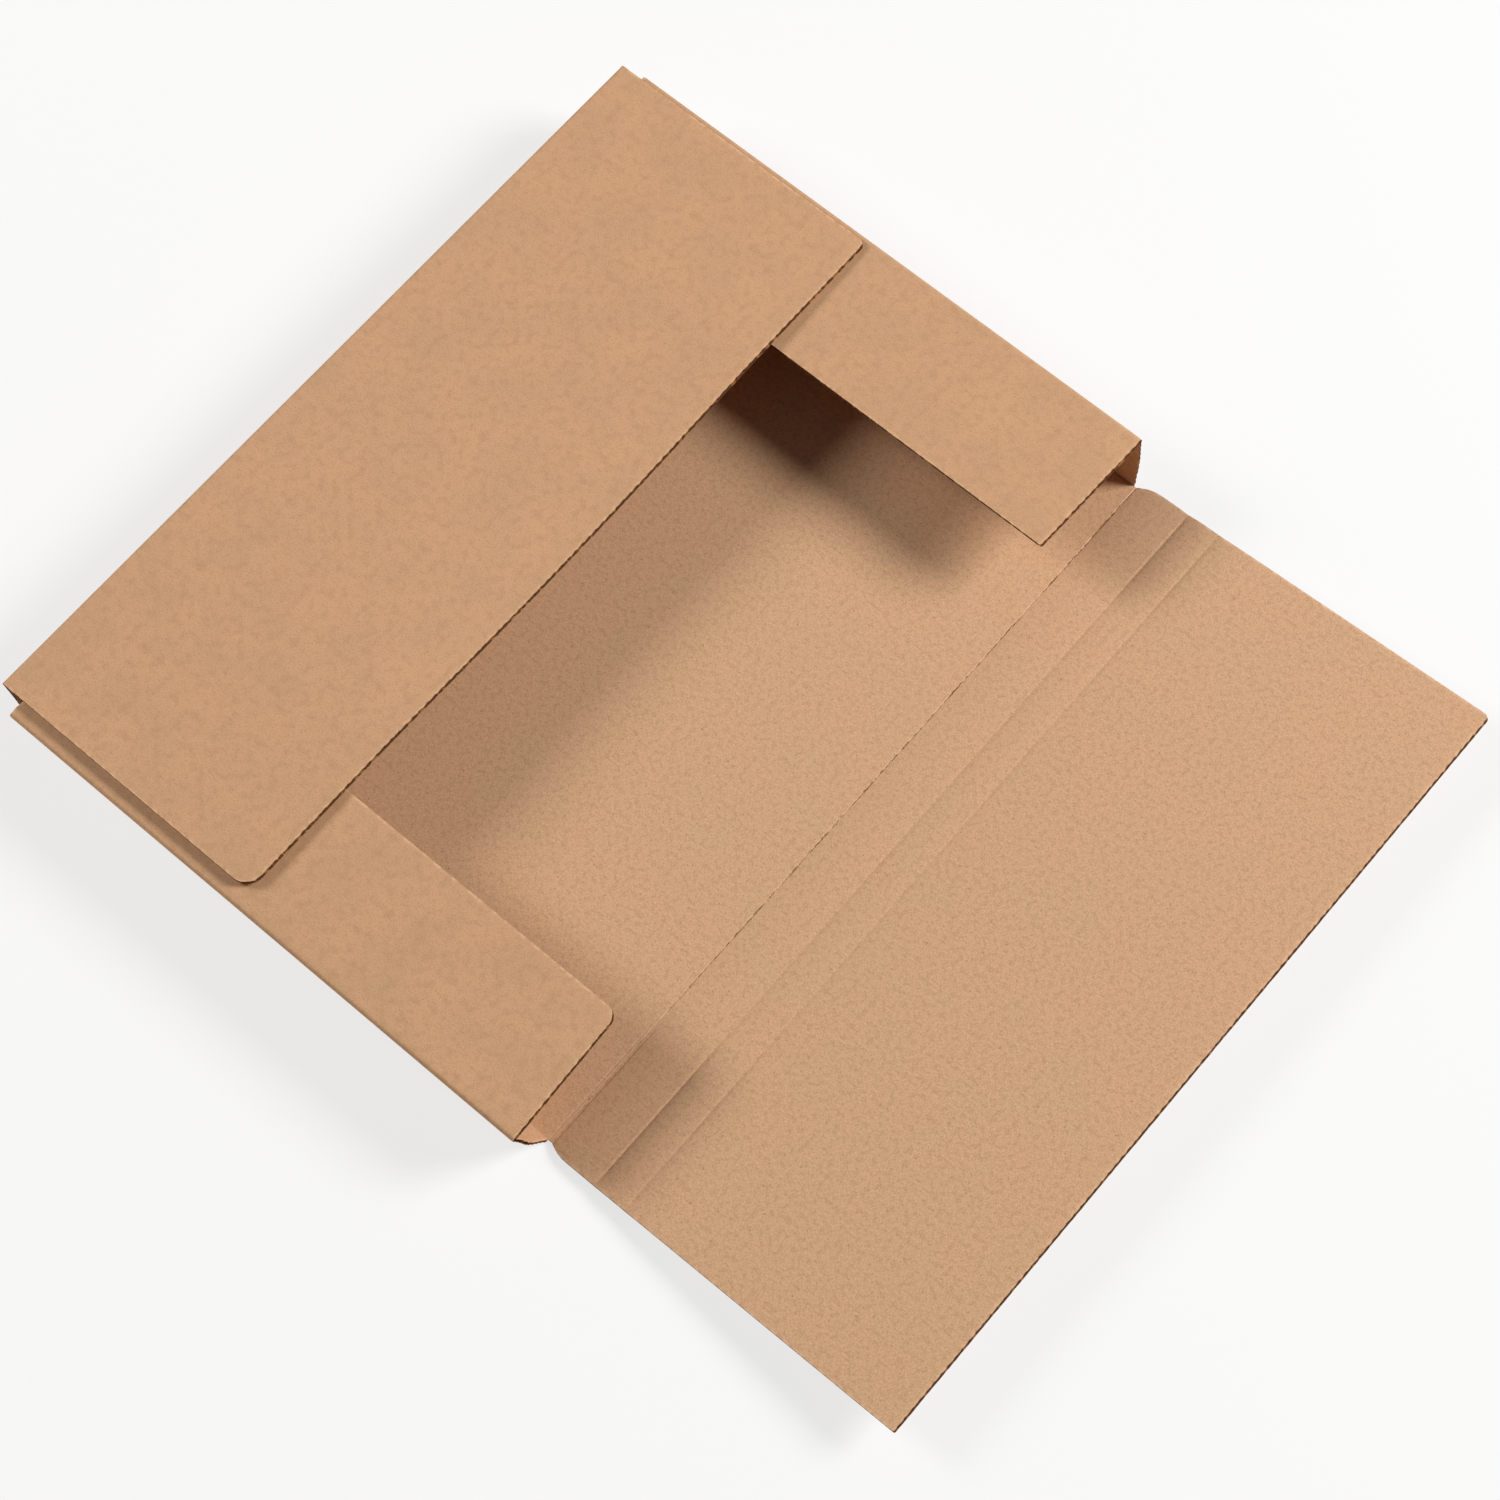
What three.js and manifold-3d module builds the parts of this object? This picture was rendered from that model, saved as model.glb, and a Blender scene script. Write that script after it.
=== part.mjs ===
// A one-piece wraparound mailer of single-wall corrugated board, standing half folded:
// the left flap is folded over the two side flaps and the right flap lies open.
// X runs across the mailer from the left wall to the right flap, Y along the scores, Z up.
// The origin is the middle of the base's underside. All sizes are in millimetres and degrees.
import * as THREE from 'three';
import Module from 'manifold-3d';

const wasm = await Module();
wasm.setup();

// Board
const board = 1.6;                  // E-flute board, liner to liner
const crease_gap = 0.3;             // slit between two panels at a hinged crease
const score_depth = 0.5;            // how deep a score is pressed into the inner liner
const score_width = 1.8;            // width of the pressed line
const score_end_margin = 2.0;       // scores stop this short of the flap's side edges
const flute_pitch = 3.46;           // one wave of the fluted medium
const liner = 0.25;                 // thickness of each liner
const flute_wall = 0.3;             // medium left between two flutes at a cut end
const flute_end_depth = 1.5;        // how deep the open flute ends are cut

// Base
const base_x = 228.6;               // base across, crease to crease
const base_y = 304.8;               // base along the scores, crease to crease

// Side walls and side flaps
const side_wall_h = 31.75;          // deeper of the two depths, crease to crease
const side_score_h = 18.6;          // score for the shallower depth
const side_flap_depth = 50.8;       // side flap, crease to free edge
const side_end_clearance = 1.0;     // side walls stop this short of the base at both ends
const far_wall_lean = 0.4;          // how far each wall leans outward
const near_wall_lean = 18.0;
const far_flap_droop = 1.8;         // side flap below level, from its crease inward
const near_flap_droop = -1.0;
const side_flap_taper = 1.8;        // how much each end edge draws in at the free edge
const far_flap_corner_r = 1.0;      // free corners of the far side flap
const near_flap_corner_r = 4.5;     // free corners of the near side flap

// Long flaps: a wall strip up to the deeper score, then a cover
const cover_clearance = 0.85;       // room between a side flap and the cover over it
const long_score_1 = side_score_h + board + cover_clearance;  // shallower depth
const long_score_2 = side_wall_h + board + cover_clearance;   // deeper depth, the cover's fold
const left_cover_len = 112.2;       // covers, from the deeper score to the free edge
const right_cover_len = 113.9;
const left_overhang_near = 5.2;     // the long flaps are wider than the base
const left_overhang_far = -1.0;
const right_overhang_near = 2.2;
const right_overhang_far = 2.4;
const shoulder_len = 7.0;           // slope from the base corner out to the flap's side edge
const shoulder_bulge = 0.7;         // share of the overhang reached halfway along the shoulder
const left_corner_near_r = 6.5;     // free corners of the covers
const left_corner_far_r = 2.5;
const right_corner_near_r = 0.6;
const right_corner_far_r = 1.6;
const left_wall_lean = 9.0;         // the left wall leans outward, its cover lies level
const right_flap_rise = 6.0;        // the open right flap springs up from the table

// Roundness of curves
const fold_steps = 8;
const corner_steps = 6;

const half_x = base_x / 2;
const half_y = base_y / 2;
const rad = THREE.MathUtils.degToRad;

function toSolid(geometry) {
  const g = geometry.index ? geometry.toNonIndexed() : geometry;
  const pos = g.attributes.position;
  const seen = new Map();
  const verts = [];
  const tris = [];
  for (let i = 0; i < pos.count; i += 1) {
    const p = [pos.getX(i), pos.getY(i), pos.getZ(i)];
    const key = p.map((v) => Math.round(v * 1e5)).join(',');
    if (!seen.has(key)) {
      seen.set(key, verts.length / 3);
      verts.push(...p);
    }
    tris.push(seen.get(key));
  }
  return new wasm.Manifold(new wasm.Mesh({
    numProp: 3,
    vertProperties: new Float32Array(verts),
    triVerts: new Uint32Array(tris),
  }));
}

function toMesh(solid, name, colour) {
  const m = solid.getMesh();
  const g = new THREE.BufferGeometry();
  g.setAttribute('position', new THREE.BufferAttribute(new Float32Array(m.vertProperties), 3));
  g.setIndex(new THREE.BufferAttribute(new Uint32Array(m.triVerts), 1));
  g.computeVertexNormals();
  const mesh = new THREE.Mesh(g, new THREE.MeshStandardMaterial({ color: colour, roughness: 0.9 }));
  mesh.name = name;
  return mesh;
}

function shapeOf(points) {
  const s = new THREE.Shape();
  points.forEach(([u, v], i) => (i ? s.lineTo(u, v) : s.moveTo(u, v)));
  s.closePath();
  return s;
}

// A flat outline in X and Y, from z0 up to z1
function prism(points, z0, z1) {
  const g = new THREE.ExtrudeGeometry(shapeOf(points), { depth: z1 - z0, bevelEnabled: false });
  g.translate(0, 0, z0);
  return toSolid(g);
}

// Sections in Y and Z, drawn out along X from x0 to x1
function drawnAlongX(sections, x0, x1) {
  const g = new THREE.ExtrudeGeometry(sections.map(shapeOf), { depth: x1 - x0, bevelEnabled: false });
  g.applyMatrix4(new THREE.Matrix4().set(
    0, 0, 1, x0,
    1, 0, 0, 0,
    0, 1, 0, 0,
    0, 0, 0, 1,
  ));
  return toSolid(g);
}

// A section in X and Z, drawn out along Y from y0 to y1
function drawnAlongY(points, y0, y1) {
  const g = new THREE.ExtrudeGeometry(shapeOf(points), { depth: y1 - y0, bevelEnabled: false });
  g.applyMatrix4(new THREE.Matrix4().set(
    1, 0, 0, 0,
    0, 0, -1, y1,
    0, 1, 0, 0,
    0, 0, 0, 1,
  ));
  return toSolid(g);
}

// Arc from angle a0 to a1 (degrees) round a centre
function arc(cu, cv, r, a0, a1, steps) {
  const out = [];
  for (let i = 0; i <= steps; i += 1) {
    const a = rad(a0 + (a1 - a0) * (i / steps));
    out.push([cu + r * Math.cos(a), cv + r * Math.sin(a)]);
  }
  return out;
}

// A pressed score as a notch in the inner liner, at a distance along a panel
function notch(along, from, dir, inward) {
  const at = (d, depth) => [
    from[0] + dir[0] * d - inward[0] * depth,
    from[1] + dir[1] * d - inward[1] * depth,
  ];
  return [at(along - score_width / 2, 0), at(along, score_depth), at(along + score_width / 2, 0)];
}

// Open ends of the flutes along a cut edge: triangles between the liners, point up and
// point down in turn, from a start on the inner liner along dir, with out towards the other liner
function fluteEnds(start, dir, out, length) {
  const count = Math.floor(length / flute_pitch);
  const margin = (length - count * flute_pitch) / 2;
  const half = flute_pitch / 2 - flute_wall;
  const low = liner;
  const high = board - liner;
  const at = ([u, v]) => [start[0] + dir[0] * u + out[0] * v, start[1] + dir[1] * u + out[1] * v];
  const ends = [];
  for (let k = 0; k < count; k += 1) {
    const c = margin + (k + 0.5) * flute_pitch;
    ends.push([[c - half, low], [c + half, low], [c, high - flute_wall]].map(at));
    if (k < count - 1) {
      const d = c + flute_pitch / 2;
      ends.push([[d - half, high], [d, low + flute_wall], [d + half, high]].map(at));
    }
  }
  return ends;
}

// Tray: base, side walls and side flaps, one folded strip seen along X.
// The inner liner is a line with sharp creases; the outer liner wraps round each crease.
// A side is worked out for the far side; y is measured from the middle of the base.
function sideLines(lean, droop) {
  const up = 90 - lean;
  const crease = [half_y, board];
  const dirWall = [Math.cos(rad(up)), Math.sin(rad(up))];
  const outWall = [dirWall[1], -dirWall[0]];
  const top = [crease[0] + dirWall[0] * side_wall_h, crease[1] + dirWall[1] * side_wall_h];
  const dirFlap = [-Math.cos(rad(droop)), -Math.sin(rad(droop))];
  const outFlap = [-Math.sin(rad(droop)), Math.cos(rad(droop))];
  return { lean, droop, crease, dirWall, outWall, top, dirFlap, outFlap };
}

function sideProfile(s) {
  const inWall = [-s.outWall[0], -s.outWall[1]];
  const free = [s.top[0] + s.dirFlap[0] * side_flap_depth, s.top[1] + s.dirFlap[1] * side_flap_depth];
  const freeOut = [free[0] + s.outFlap[0] * board, free[1] + s.outFlap[1] * board];
  const inner = [s.crease, ...notch(side_score_h, s.crease, s.dirWall, inWall), s.top, free];
  const outer = [
    freeOut,
    ...arc(s.top[0], s.top[1], board, 90 + s.droop, -s.lean, fold_steps),
    ...arc(s.crease[0], s.crease[1], board, -s.lean, -90, fold_steps),
  ];
  return [...inner, ...outer];
}

const far = sideLines(far_wall_lean, far_flap_droop);
const near = sideLines(near_wall_lean, near_flap_droop);
const toNear = ([y, z]) => [-y, z];
const tray_section = [...sideProfile(far), ...sideProfile(near).map(toNear).reverse()];
const side_x = half_x - side_end_clearance;
const side_mid_z = board + side_wall_h / 2;
const above_all = board * 3 + side_wall_h + long_score_2;

// What is cut away at one end of a side flap: its taper and its rounded free corner
function flapEndCut(lean, droop, r, sx, sy) {
  const fold_y = half_y + side_wall_h * Math.sin(rad(lean));
  const free_y = fold_y - side_flap_depth * Math.cos(rad(droop)) + board * Math.sin(rad(Math.abs(droop)));
  const in_x = side_x - side_flap_taper;
  const pts = [
    [side_x, fold_y],
    ...arc(in_x - r, free_y + r, r, 0, -90, corner_steps),
    [in_x - r, free_y - board * 2],
    [side_x + board, free_y - board * 2],
    [side_x + board, fold_y],
  ];
  return prism(pts.map(([x, y]) => [sx * x, sy * y]), side_mid_z, above_all);
}

let tray = drawnAlongX([tray_section], -side_x, side_x);
const base_section = [[-half_x, 0], [half_x, 0], [half_x, board - score_depth],
  [half_x - score_width / 2, board], [-half_x + score_width / 2, board], [-half_x, board - score_depth]];
tray = tray.add(drawnAlongY(base_section, -half_y, half_y));
for (const sx of [-1, 1]) {
  tray = tray.subtract(flapEndCut(far_wall_lean, far_flap_droop, far_flap_corner_r, sx, 1));
  tray = tray.subtract(flapEndCut(near_wall_lean, near_flap_droop, near_flap_corner_r, sx, -1));
}

// Flute ends at both ends of the side walls and side flaps
const side_flutes = (s, corner_r) => [
  ...fluteEnds(s.crease, s.dirWall, s.outWall, side_wall_h),
  ...fluteEnds(s.top, s.dirFlap, s.outFlap, side_flap_depth - corner_r),
];
const tray_flutes = [
  ...side_flutes(far, far_flap_corner_r),
  ...side_flutes(near, near_flap_corner_r).map((tri) => tri.map(toNear)),
];
const flute_x = side_x - side_flap_taper - flute_end_depth;
tray = tray.subtract(drawnAlongX(tray_flutes, flute_x, half_x));
tray = tray.subtract(drawnAlongX(tray_flutes, -half_x, -flute_x));

// Long flaps, laid flat to the right of a crease at x = 0 with the inner liner at z = 0.
// The wall strip has its shoulders at the base crease and the first depth score across it.
function wallPanel(over_near, over_far) {
  const y0 = -half_y - over_near;
  const y1 = half_y + over_far;
  const shoulder = (over) => half_y + over * shoulder_bulge;
  const outline = [
    [crease_gap, -half_y], [shoulder_len / 2, -shoulder(over_near)], [shoulder_len, y0],
    [long_score_2, y0], [long_score_2, y1],
    [shoulder_len, y1], [shoulder_len / 2, shoulder(over_far)], [crease_gap, half_y],
  ];
  const section = [
    [crease_gap, -board], [long_score_2, -board],
    [long_score_2, -score_depth], [long_score_2 - score_width / 2, 0],
    [crease_gap + score_width / 2, 0], [crease_gap, -score_depth],
  ];
  const groove = [
    [long_score_1 - score_width / 2, 0], [long_score_1, -score_depth],
    [long_score_1 + score_width / 2, 0], [long_score_1 + score_width / 2, board],
    [long_score_1 - score_width / 2, board],
  ];
  const wide0 = Math.min(y0, -half_y) - board;
  const wide1 = Math.max(y1, half_y) + board;
  return prism(outline, -board, 0)
    .intersect(drawnAlongY(section, wide0, wide1))
    .subtract(drawnAlongY(groove, y0 + score_end_margin, y1 - score_end_margin));
}

function coverPanel(cover_len, over_near, over_far, r_near, r_far) {
  const y0 = -half_y - over_near;
  const y1 = half_y + over_far;
  const outline = [
    [crease_gap, y0],
    ...arc(cover_len - r_near, y0 + r_near, r_near, -90, 0, corner_steps),
    ...arc(cover_len - r_far, y1 - r_far, r_far, 0, 90, corner_steps),
    [crease_gap, y1],
  ];
  const section = [
    [crease_gap, -board], [cover_len, -board], [cover_len, 0],
    [crease_gap + score_width / 2, 0], [crease_gap, -score_depth],
  ];
  const edge = fluteEnds([y0 + r_near, 0], [1, 0], [0, -1], y1 - y0 - r_near - r_far);
  return prism(outline, -board, 0)
    .intersect(drawnAlongY(section, y0 - board, y1 + board))
    .subtract(drawnAlongX(edge, cover_len - flute_end_depth, cover_len + board));
}

// Turn about Y, nose up by the angle, then move; mirrored panels run to the left
function placed(solid, rise, x, z, mirrored) {
  const m = new THREE.Matrix4().makeTranslation(x, 0, z)
    .multiply(new THREE.Matrix4().makeRotationY(rad(mirrored ? rise : -rise)))
    .multiply(new THREE.Matrix4().makeScale(mirrored ? -1 : 1, 1, 1));
  const e = m.elements;
  return solid.transform(Array.from(e));
}

// Right flap, open: both panels in one plane, springing up from the base crease
const right_cover_x = half_x + long_score_2 * Math.cos(rad(right_flap_rise));
const right_cover_z = board + long_score_2 * Math.sin(rad(right_flap_rise));
const right_wall = placed(
  wallPanel(right_overhang_near, right_overhang_far), right_flap_rise, half_x, board, false,
);
const right_cover = placed(
  coverPanel(
    right_cover_len, right_overhang_near, right_overhang_far,
    right_corner_near_r, right_corner_far_r,
  ),
  right_flap_rise, right_cover_x, right_cover_z, false,
);

// Left flap, folded: the wall stands leaning outward and the cover lies level over the side flaps
const left_fold_x = -half_x - long_score_2 * Math.sin(rad(left_wall_lean));
const left_fold_z = board + long_score_2 * Math.cos(rad(left_wall_lean));
const left_wall = placed(
  wallPanel(left_overhang_near, left_overhang_far), 90 - left_wall_lean, -half_x, board, true,
);
const left_cover = placed(
  coverPanel(
    left_cover_len, left_overhang_near, left_overhang_far,
    left_corner_near_r, left_corner_far_r,
  ),
  180, left_fold_x, left_fold_z, true,
);

const kraft_in = 0xc79a6b;
const kraft_out = 0xc2925f;
const group = new THREE.Group();
group.name = 'wraparound_mailer';
group.add(toMesh(tray, 'tray', kraft_in));
group.add(toMesh(left_wall, 'left_wall', kraft_out));
group.add(toMesh(left_cover, 'left_cover', kraft_out));
group.add(toMesh(right_wall, 'right_wall', kraft_in));
group.add(toMesh(right_cover, 'right_cover', kraft_in));

export default group;
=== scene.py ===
# A one-piece wraparound mailer of kraft E-flute board, half folded: the left flap is folded
# over the two side flaps and the right flap lies open. Laid out as an add-on, run as a script.
import math
import random

import bmesh
import bpy
from mathutils import Matrix, Vector, noise
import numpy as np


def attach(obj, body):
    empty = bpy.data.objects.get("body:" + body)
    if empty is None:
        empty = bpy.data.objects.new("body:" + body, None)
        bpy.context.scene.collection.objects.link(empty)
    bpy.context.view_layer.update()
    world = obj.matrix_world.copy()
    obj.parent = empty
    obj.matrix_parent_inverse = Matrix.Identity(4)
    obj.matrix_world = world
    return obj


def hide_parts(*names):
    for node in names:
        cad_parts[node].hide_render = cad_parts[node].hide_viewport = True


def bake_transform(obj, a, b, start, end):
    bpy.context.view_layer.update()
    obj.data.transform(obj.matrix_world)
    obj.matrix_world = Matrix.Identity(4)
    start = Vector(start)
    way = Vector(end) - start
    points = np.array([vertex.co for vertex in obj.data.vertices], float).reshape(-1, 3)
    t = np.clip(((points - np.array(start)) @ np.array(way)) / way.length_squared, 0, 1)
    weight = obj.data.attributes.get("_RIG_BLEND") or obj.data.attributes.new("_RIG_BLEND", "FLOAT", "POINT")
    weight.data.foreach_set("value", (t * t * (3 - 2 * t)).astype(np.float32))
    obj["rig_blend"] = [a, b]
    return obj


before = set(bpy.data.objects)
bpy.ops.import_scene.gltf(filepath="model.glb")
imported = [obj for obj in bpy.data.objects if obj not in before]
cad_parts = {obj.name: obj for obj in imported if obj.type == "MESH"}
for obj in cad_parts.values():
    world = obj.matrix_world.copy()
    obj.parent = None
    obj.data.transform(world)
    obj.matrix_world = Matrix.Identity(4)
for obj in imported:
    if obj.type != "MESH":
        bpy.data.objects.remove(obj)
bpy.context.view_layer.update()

bl_info = {
    "name": "Wraparound mailer",
    "version": (1, 0, 0),
    "blender": (4, 5, 0),
    "location": "View3D > Sidebar > Mailer",
    "description": "Builds a half-folded wraparound mailer of corrugated board in its studio",
    "category": "Add Mesh",
}

MM = 0.001


def linear(code):
    """An sRGB hex colour as linear red, green and blue."""
    parts = [int(code[k:k + 2], 16) / 255 for k in (1, 3, 5)]
    return tuple(c / 12.92 if c <= 0.04045 else ((c + 0.055) / 1.055) ** 2.4 for c in parts)


def length(name, description, millimetres):
    """A size that the panel shows, given in millimetres."""
    return bpy.props.FloatProperty(
        name=name, description=description, default=millimetres * MM,
        subtype="DISTANCE", unit="LENGTH", precision=5,
    )


def angle(name, description, degrees):
    """An angle that the panel shows, given in degrees."""
    return bpy.props.FloatProperty(
        name=name, description=description, default=math.radians(degrees),
        subtype="ANGLE", unit="ROTATION",
    )


def colour(name, description, code):
    """A colour that the panel shows, given as an sRGB hex value."""
    return bpy.props.FloatVectorProperty(
        name=name, description=description, default=linear(code), subtype="COLOR", size=3,
        min=0, max=1,
    )


class MailerBoard(bpy.types.PropertyGroup):
    """The corrugated board that the mailer is cut from."""
    board: length("Board", "Thickness from liner to liner", 1.6)
    liner: length("Liner", "Thickness of each flat liner", 0.25)
    medium: length("Medium", "Thickness of the fluted paper", 0.16)
    pitch: length("Flute pitch", "One wave of the fluted medium", 3.46)
    score_depth: length("Score depth", "How deep a score is pressed into the inner liner", 0.5)
    score_width: length("Score width", "Width of the pressed line", 2.2)
    score_margin: length("Score margin", "Scores stop this short of a flap's side edges", 2.0)
    crease_half: length("Crease half", "Crushed board on either side of a hinged crease", 1.5)
    edge_crush: length("Edge crush", "How far the die presses each liner down at a cut", 0.1)
    edge_fray: length("Edge fray", "How ragged a cut edge is", 0.16)
    medium_back: length("Medium set back", "The fluted paper ends this far inside a cut", 0.45)
    top_back: length(
        "Top liner set back", "The die leaves the upper liner this much shorter", 0.42)


class MailerFolds(bpy.types.PropertyGroup):
    """Where the mailer is folded and how far each fold is turned."""
    base_x: length("Base across", "Base from crease to crease", 228.6)
    base_y: length("Base along", "Base along the long scores", 304.8)
    wall_h: length("Side wall", "Side wall at the deeper depth", 31.75)
    wall_score: length("Side wall score", "Score for the shallower depth", 18.6)
    side_flap: length("Side flap", "Side flap from crease to free edge", 50.8)
    side_gap: length("Side end gap", "Side walls stop this short of the base", 1.0)
    side_taper: length("Side flap taper", "Draw-in of each end at the free edge", 1.8)
    far_r: length("Far flap corner", "Free corners of the far side flap", 1.0)
    near_r: length("Near flap corner", "Free corners of the near side flap", 4.5)
    far_lean: angle("Far wall lean", "Lean outward", 0.4)
    near_lean: angle("Near wall lean", "Lean outward", 18)
    far_droop: angle("Far flap droop", "Below level, inward", 1.8)
    near_droop: angle("Near flap droop", "Below level, inward", -1)
    first_score: length("First long score", "Shallower depth on the long flaps", 21.05)
    second_score: length("Second long score", "Deeper depth, where the cover folds", 34.2)
    left_cover: length("Left cover", "From its fold to its free edge", 112.2)
    right_cover: length("Right cover", "From its fold to its free edge", 113.9)
    left_near: length("Left overhang near", "Wider than the base", 5.2)
    left_far: length("Left overhang far", "Wider than the base", -1)
    right_near: length("Right overhang near", "Wider than the base", 2.2)
    right_far: length("Right overhang far", "Wider than the base", 2.4)
    shoulder: length("Shoulder", "Slope from the base corner out to the side edge", 7)
    left_near_r: length("Left near corner", "Free corner radius", 6.5)
    left_far_r: length("Left far corner", "Free corner radius", 2.5)
    right_near_r: length("Right near corner", "Free corner radius", 0.6)
    right_far_r: length("Right far corner", "Free corner radius", 1.6)
    left_lean: angle("Left wall lean", "Lean outward", 9)
    right_rise: angle("Right flap rise", "The open flap springs up from the table", 6)
    cover_sag: length("Cover sag", "How far the middle of the left free edge hangs", 3.2)
    strip_swell: length("Strip swell", "How far the board swells up between two long scores", 0.75)
    near_bow: length("Near wall bow", "How far the near side wall bulges outward", 1.2)
    far_bow: length("Far wall bow", "How far the far side wall bulges outward", 0.7)


class MailerFinish(bpy.types.PropertyGroup):
    """Colours of the papers; the medium and the crack colours also carry painted shade."""
    inner: colour("Inner liner", "Rough inside face", "#d2a782")
    outer: colour("Outer liner", "Smooth outside face", "#cfa27b")
    # The medium's colour is darker than the paper's own: painted shade of the hollow between the liners.
    medium: colour("Medium", "Fluted paper inside the board", "#6e4828")
    # The crack colour is torn paper darkened with painted shade of the split.
    crack_and_shade: colour("Crack", "Torn paper in the first score", "#7a5230")


class MailerStudio(bpy.types.PropertyGroup):
    """Light and floor."""
    floor: colour("Floor", "Pale sweep under the mailer", "#f4f3f1")
    sky: bpy.props.FloatProperty(
        name="Room light", description="Even light from all round", default=0.07, min=0)
    key: bpy.props.FloatProperty(
        name="Main lamp", description="Soft box at the far right", default=47.0, min=0,
        unit="POWER")
    fill: bpy.props.FloatProperty(
        name="Second lamp", description="Soft box at the left", default=25.0, min=0,
        unit="POWER")


# ---------------------------------------------------------------- board seen from its edge

TURN_STEPS = 7                  # rows round a crease
ROUND_STEPS = 7                 # rows round a free corner
WAVE_STEPS = 10                 # rows of the fluted medium in one flute
LINER_STEPS = 3                 # rows of a liner in one flute
LINER_COLUMN = 9 * MM           # widest column of a liner
MEDIUM_COLUMN = 60 * MM         # widest column of the medium
FINE_COLUMNS = (0.0, 0.35 * MM, 0.8 * MM, 1.5 * MM, 2.6 * MM)  # inward from a panel's ends
# The medium's slot also paints shade: the liners' glued faces and the cut sides of every sheet take its dark
# paper.
INNER, OUTER, MEDIUM_AND_SHADE = 0, 1, 2  # material slots, in the order that papers() gives them

CUT_REACH = 0.7 * MM            # how far from a cut the die's pressure is still felt
FRAY_STEP = 1.9 * MM            # from one nick of a ragged cut to the next
SCALLOP = 0.3                   # how much further back a liner breaks between the flutes
LEAST_WAVE = 0.05 * MM          # height of the flutes where the board is crushed flat

SHOULDER_BULGE = 0.7            # share of the overhang reached halfway along the shoulder
SCORE_LEFT = 0.55               # share of a score's depth that is left as the board springs back
SCORE_STEEP, SCORE_LONG = 0.35, 0.75  # reach of a score to its two sides, in score widths
SCORE_CURVE = 1.6               # how hollow the sides of a score are
SCORE_STEP = 22 * MM            # length along a score over which its depth changes
SCORE_COLUMNS = (-0.5, -0.35, -0.2, -0.1, 0, 0.1, 0.2, 0.35, 0.5, 0.75)  # in score widths
FADE = 2 * MM                   # a score dies out over this length

RISE_SHARE, RISE_REACH = 0.6, 6 * MM  # the open cover's bend beyond its score
SAG_HALF = 98 * MM              # the left cover sags this far to either side of its middle
SAG_ALONG, SAG_ACROSS = 1.5, 1.6  # how the sag dies out along the edge and towards the fold

# The torn score at the right base crease
TEAR_FROM, TEAR_GROWS = -112 * MM, 30 * MM  # where along it the tear starts, and opens up
CRACK_HALF = 0.9 * MM           # half width of the darkened line
WANDER, WANDER_STEP = 0.35 * MM, 9 * MM  # how far the split strays, and over what length
SPLIT = (0.34 * MM, 0.0, 0.22 * MM)  # size, distance from the middle and half width: the tear,
LIP = (0.14 * MM, 0.55 * MM, 0.3 * MM)  # the raised lips on its two sides,
HOLLOW = (0.14 * MM, 0.9 * MM, 0.35 * MM)  # and the hollows that flank its untorn near end
CRUSHED, CRUSHED_FADE = 0.08 * MM, 0.3 * MM  # the inner liner lies this low in a turn
TORN_CORE = 0.36 * MM           # the medium lies this far under the torn liner
CRUSHED_LINERS = 2.9            # how many liners' thickness a crease's medium has lost
CREASE_COLUMN = 0.25 * MM       # width of a crease's columns
SLIVERS = 30                    # bits of liner that stand up along the torn score
SLIVERS_FROM = -95 * MM         # there are none nearer than this


class Walk:
    """A folded board seen from its edge: straight legs, with a turn round each crease.
    A leg is (heading, length). The inner liner lies to the left of the walk, and depth is
    measured from it towards the outer liner. t runs along the middle of the board."""

    def __init__(self, start, legs, middle, zero=0.0):
        self.runs = []
        here, at = Vector(start), 0.0
        for k, (heading, reach) in enumerate(legs):
            if k and heading - legs[k - 1][0] > 1e-6:
                before = legs[k - 1][0]
                sweep = (heading - before) * middle
                self.runs.append((at, at + sweep, here.copy(), before, heading))
                at += sweep
            self.runs.append((at, at + reach, here.copy(), heading, heading))
            here = here + reach * Vector((math.cos(heading), math.sin(heading)))
            at += reach
        self.zero = zero
        self.first, self.last = -zero, at - zero

    def point(self, t, depth):
        along = t + self.zero
        run = next((r for r in self.runs if along <= r[1]), self.runs[-1])
        begin, end, here, before, after = run
        if before == after:
            out = Vector((math.sin(before), -math.cos(before)))
            ahead = Vector((math.cos(before), math.sin(before)))
            return here + (along - begin) * ahead + depth * out
        heading = before + (after - before) * (along - begin) / (end - begin)
        return here + depth * Vector((math.sin(heading), -math.cos(heading)))

    def rows(self, spacing, r_first=0.0, r_last=0.0):
        """Stations along the walk: even on a leg, finer in a turn and round a free corner."""
        out = set()
        for begin, end, _, before, after in self.runs:
            steps = TURN_STEPS if before != after else max(1, round((end - begin) / spacing))
            out |= {begin - self.zero + (end - begin) * k / steps for k in range(steps + 1)}
        for r, end, way in ((r_first, self.first, 1), (r_last, self.last, -1)):
            if r:
                out = {t for t in out if abs(t - end) > r or t == end}
                out |= {end + way * r * (1 - math.cos(math.pi / 2 * k / ROUND_STEPS))
                        for k in range(ROUND_STEPS + 1)}
        rows = []
        for t in sorted(out):
            if not rows or t - rows[-1] > 1e-6:
                rows.append(t)
        return rows


def stretch(value, was, now, fixed):
    """Moves the two outer bands of a range to new ends, and leaves what lies between them."""
    (a0, a1), (b0, b1), (f0, f1) = was, now, fixed
    if value < f0:
        return b0 + (value - a0) / (f0 - a0) * (f0 - b0)
    if value > f1:
        return b1 - (a1 - value) / (a1 - f1) * (b1 - f1)
    return value


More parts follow.
